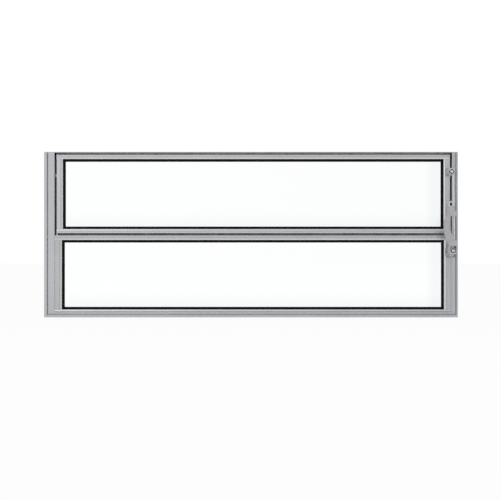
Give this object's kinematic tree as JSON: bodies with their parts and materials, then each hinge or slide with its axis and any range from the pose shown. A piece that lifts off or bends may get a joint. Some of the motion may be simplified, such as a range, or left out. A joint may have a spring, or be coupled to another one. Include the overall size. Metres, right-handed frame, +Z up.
{
  "type": "pivot window",
  "caption": "Aluminium pivot window: glazed upper sash turning on side pivots over a fixed glazed light, opened by a hand lever and link rod on the right jamb.",
  "frame": {"origin": "centre of the sill's underside, at mid depth of the frame", "axes": "+X along the window to the right seen from inside the room, +Y out of the building, +Z up"},
  "size_m": [1, 0.0955, 0.4],
  "materials": {
    "frame_aluminium": "natural satin anodised",
    "light_aluminium": "natural satin anodised",
    "cast_aluminium": "satin",
    "steel_pin": "turned",
    "steel_rod": "bright drawn",
    "black_seal": "matt",
    "grey_pile": "woven pile",
    "black_gasket": "satin",
    "nylon_bush": "matt",
    "clear_glass": "clear float"
  },
  "bodies": {
    "frame": {"left_jamb": "frame_aluminium", "right_jamb": "frame_aluminium", "head": "frame_aluminium", "sill": "frame_aluminium", "transom": "frame_aluminium", "head_seal": "grey_pile", "left_jamb_seal": "black_seal", "right_jamb_seal": "black_seal", "left_pivot_bush": "nylon_bush", "right_pivot_bush": "nylon_bush", "fixed_left_stile": "light_aluminium", "fixed_right_stile": "light_aluminium", "fixed_bottom_rail": "light_aluminium", "fixed_bead_left": "light_aluminium", "fixed_bead_right": "light_aluminium", "fixed_bead_bottom": "light_aluminium", "fixed_bead_top": "light_aluminium", "fixed_glass": "clear_glass", "fixed_gasket_front": "black_gasket", "fixed_gasket_rear": "black_gasket", "lever_bracket": "cast_aluminium", "lever_bracket_pin": "steel_pin"},
    "sash": {"sash_left_stile": "light_aluminium", "sash_right_stile": "light_aluminium", "sash_top_rail": "light_aluminium", "sash_bottom_rail": "light_aluminium", "sash_bead_left": "light_aluminium", "sash_bead_right": "light_aluminium", "sash_bead_bottom": "light_aluminium", "sash_bead_top": "light_aluminium", "sash_glass": "clear_glass", "sash_gasket_front": "black_gasket", "sash_gasket_rear": "black_gasket", "left_pivot_pin": "steel_pin", "right_pivot_pin": "steel_pin", "sash_crank": "cast_aluminium", "crank_pin": "steel_pin"},
    "lever": {"lever_handle": "cast_aluminium", "lever_left_cheek": "cast_aluminium", "lever_right_cheek": "cast_aluminium", "lever_link_pin": "steel_pin"},
    "rod": {"link_rod": "steel_rod", "link_top_knuckle": "cast_aluminium", "link_bottom_knuckle": "cast_aluminium"}
  },
  "joints": [
    {"name": "sash_pivot", "type": "hinge", "parent": "frame", "child": "sash", "pos_m": [0, -0.0105, 0.3432], "axis": [1, 0, 0], "range_deg": [0, 60]},
    {"name": "lever_pivot", "type": "hinge", "parent": "frame", "child": "lever", "pos_m": [0.481, -0.034, 0.1532], "axis": [1, 0, 0], "range_deg": [0, 60]},
    {"name": "rod_pivot", "type": "hinge", "parent": "sash", "child": "rod", "pos_m": [0.481, -0.03948, 0.35096], "axis": [1, 0, 0], "range_deg": [-60, 0]}
  ],
  "couplings": [
    {"joint": "lever_pivot", "follows": "sash_pivot", "ratio": 1},
    {"joint": "rod_pivot", "follows": "sash_pivot", "ratio": -1}
  ]
}
